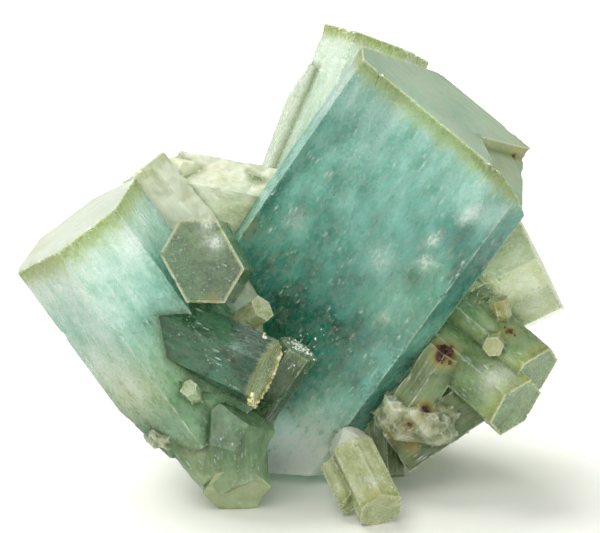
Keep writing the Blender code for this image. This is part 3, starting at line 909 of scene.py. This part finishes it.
def aquamarine():
    """Milky to clear beryl: banded colour, veils, flecks, edges with a painted highlight,
    painted shade in corners, lined sides.
    """
    s = Shades("aquamarine")
    place, tone, rim, surface, marks = [
        s.stored(name) for name in ("axis_mm", "tone", "rim", "surface", "marks")]
    edge, nook = s.stored("edge_mm", 2), s.stored("nook_mm", 2)
    depth = s.part(place, 2)
    aqua, hue, stain = [s.part(tone, axis) for axis in range(3)]
    rim_mm, rim_strength, dull_or_fibre = [s.part(rim, axis) for axis in range(3)]
    frost, broken, ring_mm = [s.part(surface, axis) for axis in range(3)]
    deeper, whiter, stained = [s.part(marks, axis) for axis in range(3)]
    cap = s.math("GREATER_THAN", ring_mm, 0.01)
    side = s.math("SUBTRACT", 1, cap)
    dull, fibre = s.product(dull_or_fibre, cap), s.product(dull_or_fibre, side)

    patterns = [s.noise(s.stretched(place, (1, 1, stretch)), scale, detail, roughness)
                for stretch, scale, detail, roughness, _ in CLOUDS]
    cloud, puff, mottle, speckle, _ = patterns
    strength = s.math("MULTIPLY_ADD", deeper, s.remap(mottle, 0.3, 0.7, 0.5, 1.5), aqua)
    for pattern, (*_, amount) in zip(patterns, CLOUDS):
        strength = s.math("ADD", strength, s.remap(pattern, 0.3, 0.7, -amount, amount))

    blue_green = s.even_ramp(strength, "#e6efe8", "#c4dfd6", "#8ec3b8", "#539f92", "#207a6c",
                             "#06503f")
    olive = s.even_ramp(strength, "#edeed8", "#d2d9b0", "#a6b67c", "#719053", "#446a35",
                        "#234a22")
    honey = s.even_ramp(strength, "#f0ecd2", "#ddd5a2", "#bfb268", "#8f8a3f", "#66622a",
                        "#3d3a16")
    swing = s.remap(puff, 0.3, 0.7, -0.14, 0.14)
    olive_share = s.math("ADD", hue, swing, use_clamp=True)
    honey_share = s.math("SUBTRACT", hue, 1, use_clamp=True)
    colour = s.over(honey_share, s.over(olive_share, blue_green, olive), honey)

    # Milkiness: fine pale blotches where the crystal is full of fluid tubes.
    clear = s.remap(aqua, 0.60, 0.95, 0.50, 0.20)
    milk = s.product(s.remap(mottle, 0.40, 0.74), s.remap(speckle, 0.32, 0.66, 0.2), clear)
    colour = s.over(milk, colour, s.over(olive_share, to_linear("#dfede3"), "#dee2c0"))

    # Flecks: white dashes along the axis, 0.15 mm wide and up to 1 mm long, in swarms. They
    # are partly fluid tubes and partly painted glints of light.
    swarm = s.remap(puff, 0.44, 0.58)
    for stretch, scale, size, share in FLECKS:
        cells = {"Vector": s.stretched(place, stretch), "Scale": scale, "Randomness": 1}
        near = add(s.tree, CELLS, cells)
        seed = add(s.tree, CELLS, cells, out=1)
        chosen = s.math("GREATER_THAN", s.part(seed, 0), share)
        fleck = s.remap(near, size, 0.5 * size, 0, 0.7)
        colour = s.over(s.product(fleck, chosen, swarm), colour, "#e8faf3")

    # Inner fractures: clusters of bright scraps. The same white also paints the gleams on the
    # hexagon and the dark prism and a reflection on the left prism: painted highlight.
    scraps = s.remap(speckle, 0.40, 0.56, 0.10, 1.3)
    veil_and_gleam = s.math("ADD", s.product(whiter, scraps), 0, use_clamp=True)
    colour = s.over(veil_and_gleam, colour, "#f0f6ee")

    # Fibres: dark and pale lines down the sides, 0.3 mm apart.
    hairs = s.noise(s.stretched(place, (1, 1, 0.05)), 2.6, 3, 0.6)
    colour = s.over(s.product(s.remap(hairs, 0.46, 0.32), fibre), colour, "#55603a")
    colour = s.over(s.product(s.remap(hairs, 0.54, 0.68), fibre), colour, "#e3e6d0")

    # Tips: duller than the sides, the paler the weaker the crystal's colour is.
    tip_tone = s.math("ADD", s.remap(cloud, 0.35, 0.65, 0.10, -0.10), aqua)
    cap_colour = s.ramp(tip_tone, (0, "#e8eadc"), (0.15, "#dbe2cc"), (0.30, "#c2d5b6"),
                        (0.45, "#a3c2a4"), (0.7, "#6f9778"))
    warm = s.product(s.remap(puff, 0.50, 0.66), 0.55)
    cap_colour = s.over(warm, cap_colour, "#d6c9b0")
    # Fine scratches and growth lines on it run along one edge.
    scratch = s.noise(s.stretched(place, (0.10, 1, 1)), 2.2, 4, 0.65)
    cap_colour = s.over(s.remap(scratch, 0.47, 0.34, 0, 0.55), cap_colour, "#839b7f")
    cap_colour = s.over(s.remap(scratch, 0.54, 0.66, 0, 0.6), cap_colour, "#e9efe0")
    colour = s.over(dull, colour, cap_colour)

    # The last growth: a yellow-green layer below the tip, with a ragged lower border,
    # which shows on the tip itself as a ring.
    rag = s.noise(s.stretched(place, (1, 1, 0.35)), 0.9, 5, 0.75)
    rag = s.remap(rag, 0.3, 0.7, 0.55, 1.45)
    layer = s.math("DIVIDE", depth, rim_mm)
    band = s.remap(s.math("DIVIDE", layer, rag), 1.6, 0.5, smooth=True)
    band = s.product(band, s.remap(speckle, 0.36, 0.52, 0.55))
    ring = s.remap(edge, ring_mm, s.product(ring_mm, 0.4), 0, 0.8, smooth=True)
    band = s.choose(cap, band, ring)
    layer_colour = s.ramp(layer, (0, "#e2e0a8"), (0.06, "#c6c880"), (0.16, "#949c52"),
                          (0.45, "#9fab60"), (1, "#b4c088"))
    colour = s.over(s.product(band, rim_strength), colour, layer_colour)

    # Frosted ends.
    white = s.product(s.remap(mottle, 0.35, 0.65, 0.30, 1.25), frost)
    white = s.math("ADD", white, 0, use_clamp=True)
    colour = s.over(white, colour, "#f6f4ee")

    # Painted shade in the inner corners, then brown and ochre stain.
    grime = s.noise(place, 0.5, 6, 0.7)
    painted_corner_shade = s.remap(nook, 1.2, 0, 0, 0.75, smooth=True)
    colour = s.over(painted_corner_shade, colour, "#99a27c", blend="MULTIPLY")
    patchy = s.remap(grime, 0.40, 0.60)
    dirt = s.math("ADD", s.product(stain, patchy), stained, use_clamp=True)
    dirt_colour = s.ramp(stained, (0, "#a2946a"), (0.30, "#bcae62"), (0.65, "#a07c2c"),
                         (1, "#431c10"))
    colour = s.over(dirt, colour, dirt_colour)

    # Painted highlight along the edges, partly the white of worn chips: a thin broken white
    # line.
    edge_break = s.remap(grime, 0.35, 0.6, 0.1, 0.8)
    edge_wear_and_highlight = s.remap(edge, 0.24, 0.04, smooth=True)
    colour = s.over(s.product(edge_wear_and_highlight, edge_break), colour, "#eff3e4")

    # Polished sides, dull tips, frosted breaks.
    rough = s.remap(mottle, 0.35, 0.65, 0.16, 0.38)
    for mask, amount in ((white, 0.25), (broken, 0.15), (dull, 0.20), (dirt, 0.35)):
        rough = s.math("MULTIPLY_ADD", mask, amount, rough, use_clamp=True)

    # Growth lines run down the sides; tips and breaks are finely pitted.
    lines = s.noise(s.stretched(place, (1, 1, 0.08)), 2.6, 3, 0.6)
    grain = s.noise(place, 1.4, 5, 0.65)
    pitted = s.math("MAXIMUM", broken, s.product(cap, 0.15))
    pitted = s.math("MAXIMUM", pitted, white)
    return s.finish({
        "Base Color": colour, "Roughness": rough,
        "Normal": s.bump(0.30, 0.12, s.choose(pitted, lines, grain)), "IOR": BERYL_IOR,
        "Specular IOR Level": 0.3,
        "Transmission Weight": 0.55, "Subsurface Weight": 0.25,
        "Subsurface Radius": (0.8, 1.2, 1.1), "Subsurface Scale": 0.7 * MM,
    }, {"Color": (0.20, 0.88, 0.84, 1), "Density": 14})


# %% granular root
def granular_beryl():
    """Sugary beryl and feldspar stained by iron: opaque, dull and gritty."""
    s = Shades("granular_beryl")
    place, nook = s.stored("axis_mm"), s.stored("nook_mm", 2)
    stained = s.part(s.stored("marks"), 2)
    cells = {"Vector": place, "Scale": 1.3}
    grain, near = add(s.tree, CELLS, cells, out=1), add(s.tree, CELLS, cells)
    patch = s.noise(place, 0.40, 6, 0.72)
    colour = s.ramp(patch, (0.34, "#54491c"), (0.43, "#857a3a"), (0.50, "#a0985a"),
                    (0.57, "#b4ab6c"), (0.68, "#d0caa0"))
    colour = s.over(0.25, colour, grain, blend="SOFT_LIGHT")
    colour = s.over(s.remap(near, 0.25, 0.60, 0, 0.5), colour, "#666433")
    # Painted shade in the inner corners.
    colour = s.over(s.remap(nook, 1.2, 0, 0, 0.6), colour, "#46411b")
    colour = s.over(s.remap(stained, 0.15, 0.8, 0, 0.95), colour, "#6b3412")
    relief = s.noise(place, 1.6, 4, 0.7)
    return s.finish({"Base Color": colour, "Roughness": s.remap(patch, 0.3, 0.7, 0.85, 0.45),
                     "Normal": s.bump(0.6, 0.25, relief)})


# %% small grains
def grain_material(name, dark, mid, pale, rough):
    """Colour of the loose grains, uneven from one grain to the next."""
    s = Shades(name)
    patch = s.noise(add(s.tree, "ShaderNodeTexCoord", out=3), 1.1 / MM, 4)
    colour = s.ramp(patch, (0.36, dark), (0.5, mid), (0.64, pale))
    return s.finish({"Base Color": colour, "Roughness": rough, "IOR": BERYL_IOR})


cluster.data.materials.clear()
cluster.data.materials.append(aquamarine())
cluster.data.materials.append(granular_beryl())
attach(cluster, "root")
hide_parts("aquamarine_cluster")

# %% [markdown]
# ## Grains on the crystals
#
# Small grains sit where two crystals meet: a row of yellow ones round the end of
# the dark prism, a sugary crust on the frosted tip, and specks of iron oxide in
# the crevices of the root. Each is a rough little ball, pulled out of shape and
# sunk a third of its size into the surface under it.

# %% grains
RIM_RADIUS = 4.7                        # mm, of the row of grains round the dark prism's end
RIM_SPOTS = 40
RIM_START, RIM_SWEEP = math.radians(-60.0), math.radians(200.0)
RIM_GRAIN = 0.32                        # mm, radius of its grains
RAISED = 0.35                           # a grain's centre above the surface, in radii


def rim_spots():
    """Places in a ring round the end of the dark prism."""
    entry = next(item for item in CRYSTALS if item["name"] == "dark_prism")
    spots = []
    for step in range(RIM_SPOTS):
        angle = RIM_START + RIM_SWEEP * step / RIM_SPOTS
        local = Vector((RIM_RADIUS * math.cos(angle), RIM_RADIUS * math.sin(angle), -0.1))
        spots.append((entry["tip"] + entry["turn"] @ local, 0.35, 3, RIM_GRAIN))
    return spots


def sprinkle(name, spots, material, seed):
    """Grains in one mesh. A spot is its place, spread, count of grains and grain radius."""
    rng = random.Random(seed)
    bm = bmesh.new()
    for place, spread, count, size in spots:
        for _ in range(count):
            offset = Vector([rng.gauss(0.0, 0.5) * spread for _ in range(3)])
            point, normal, _, _ = skin.find_nearest((Vector(place) + offset) * MM)
            radius = size * rng.uniform(0.55, 1.25) * MM
            centre = point + normal * radius * RAISED
            centre.z = max(centre.z, 1.4 * radius)
            turn = Euler([rng.uniform(0.0, math.tau) for _ in range(3)]).to_matrix()
            shape = [rng.uniform(0.7, 1.3) for _ in range(3)]
            made = bmesh.ops.create_icosphere(bm, subdivisions=1, radius=radius)
            for vert in made["verts"]:
                pulled = vert.co * rng.uniform(0.85, 1.12)
                vert.co = centre + turn @ Vector([pulled[i] * shape[i] for i in range(3)])
    obj = link_mesh(bm, name)
    obj.data.materials.append(material)
    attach(obj, "root")


skin = BVHTree.FromPolygons([v.co for v in cluster.data.vertices],
                            [tuple(face.vertices) for face in cluster.data.polygons])
sprinkle("yellow_grains", rim_spots() + [
    ((-4.9, -18, 27), 0.8, 4, 0.25), ((-6, -17.5, 16.5), 1, 5, 0.28),
    ((28.6, -4, 32), 1.6, 12, 0.16), ((27, -6, 29.8), 1.4, 10, 0.14)],
    grain_material("yellow_grains", "#9c945a", "#c4be8c", "#e4e1bf", 0.6), 5)
sprinkle("frosted_grains", [
    ((0.1, -8, 22.6), 2.4, 150, 0.14), ((-4.9, -18.2, 27.4), 0.3, 2, 0.30),
    ((10.2, -22.6, 7), 2, 12, 0.10), ((28, -5, 31), 2.2, 24, 0.12)],
    grain_material("frosted_grains", "#9fb3a4", "#cfdacb", "#f2f5ee", 0.2), 6)
sprinkle("iron_oxide_grains", [
    ((21.6, -12, 23), 1.2, 24, 0.30), ((31.2, -11, 26.1), 1, 8, 0.18),
    ((20.9, -13.7, 22.4), 0.6, 6, 0.18), ((18.8, -14.1, 14.9), 0.7, 8, 0.20),
    ((16.4, -14.6, 12.7), 0.7, 6, 0.18)],
    grain_material("iron_oxide", "#240f09", "#42190c", "#6b3a18", 0.6), 8)

# %% [markdown]
# ## Floor, light and camera
#
# A pale matt floor fills the view. The main light is a large soft lamp high
# behind the left side, so that it comes through the crystals and throws their
# shadow forward and to the right. Weaker lamps fill from the right and from the
# upper front, and a pale surround lights the cluster from all sides. The camera
# looks 15 degrees down through a long lens.

# %% stage
FLOOR_SIZE = 3.0                        # m, half its width
CAMERA_AIM = Vector((0.16, -3.615, 34.0)) * MM
CAMERA_DISTANCE = 0.375                 # m
CAMERA_ELEVATION = math.radians(15.0)
LAMPS = (
    # name, place and aim in m, size in m, power in W
    ("key", (-0.28, 0.30, 0.62), (0, 0, 0.03), 0.80, 10),
    ("fill", (0.60, -0.35, 0.30), (0, 0, 0.03), 0.70, 2.4),
    ("front", (-0.20, -0.55, 0.45), (0, 0, 0.02), 0.60, 4),
)


def pale_floor():
    """A wide pale floor."""
    bm = bmesh.new()
    bmesh.ops.create_grid(bm, x_segments=2, y_segments=2, size=FLOOR_SIZE)
    floor = link_mesh(bm, "floor")
    floor.data.materials.append(Shades("pale_floor").finish(
        {"Base Color": to_linear("#e2e2da"), "Roughness": 0.75}))


def turn_to(obj, location, direction):
    """Put a lamp or the camera in its place and turn it in a direction."""
    obj.location = location
    obj.rotation_euler = direction.to_track_quat("-Z", "Y").to_euler()
    bpy.context.scene.collection.objects.link(obj)


def lamp(name, location, aim, size, power):
    """A square soft lamp that looks at a point."""
    data = bpy.data.lights.new(name, "AREA")
    data.size = size
    data.energy = power
    turn_to(bpy.data.objects.new(name, data), location, Vector(aim) - Vector(location))


def surround(code, strength):
    """An even light from all sides."""
    world = bpy.data.worlds.new("surround")
    world.use_nodes = True
    background = world.node_tree.nodes["Background"]
    background.inputs["Color"].default_value = to_linear(code)
    background.inputs["Strength"].default_value = strength
    bpy.context.scene.world = world


def long_lens():
    """The camera."""
    data = bpy.data.cameras.new("camera")
    data.lens = 150.0
    data.sensor_width = 36.0
    data.clip_start = 0.01
    camera = bpy.data.objects.new("camera", data)
    forward = Vector((0.0, math.cos(CAMERA_ELEVATION), -math.sin(CAMERA_ELEVATION)))
    turn_to(camera, CAMERA_AIM - forward * CAMERA_DISTANCE, forward)
    bpy.context.scene.camera = camera


pale_floor()
for row in LAMPS:
    lamp(*row)
surround("#fbfcfa", 0.32)
long_lens()
bpy.context.scene.view_settings.view_transform = "Standard"
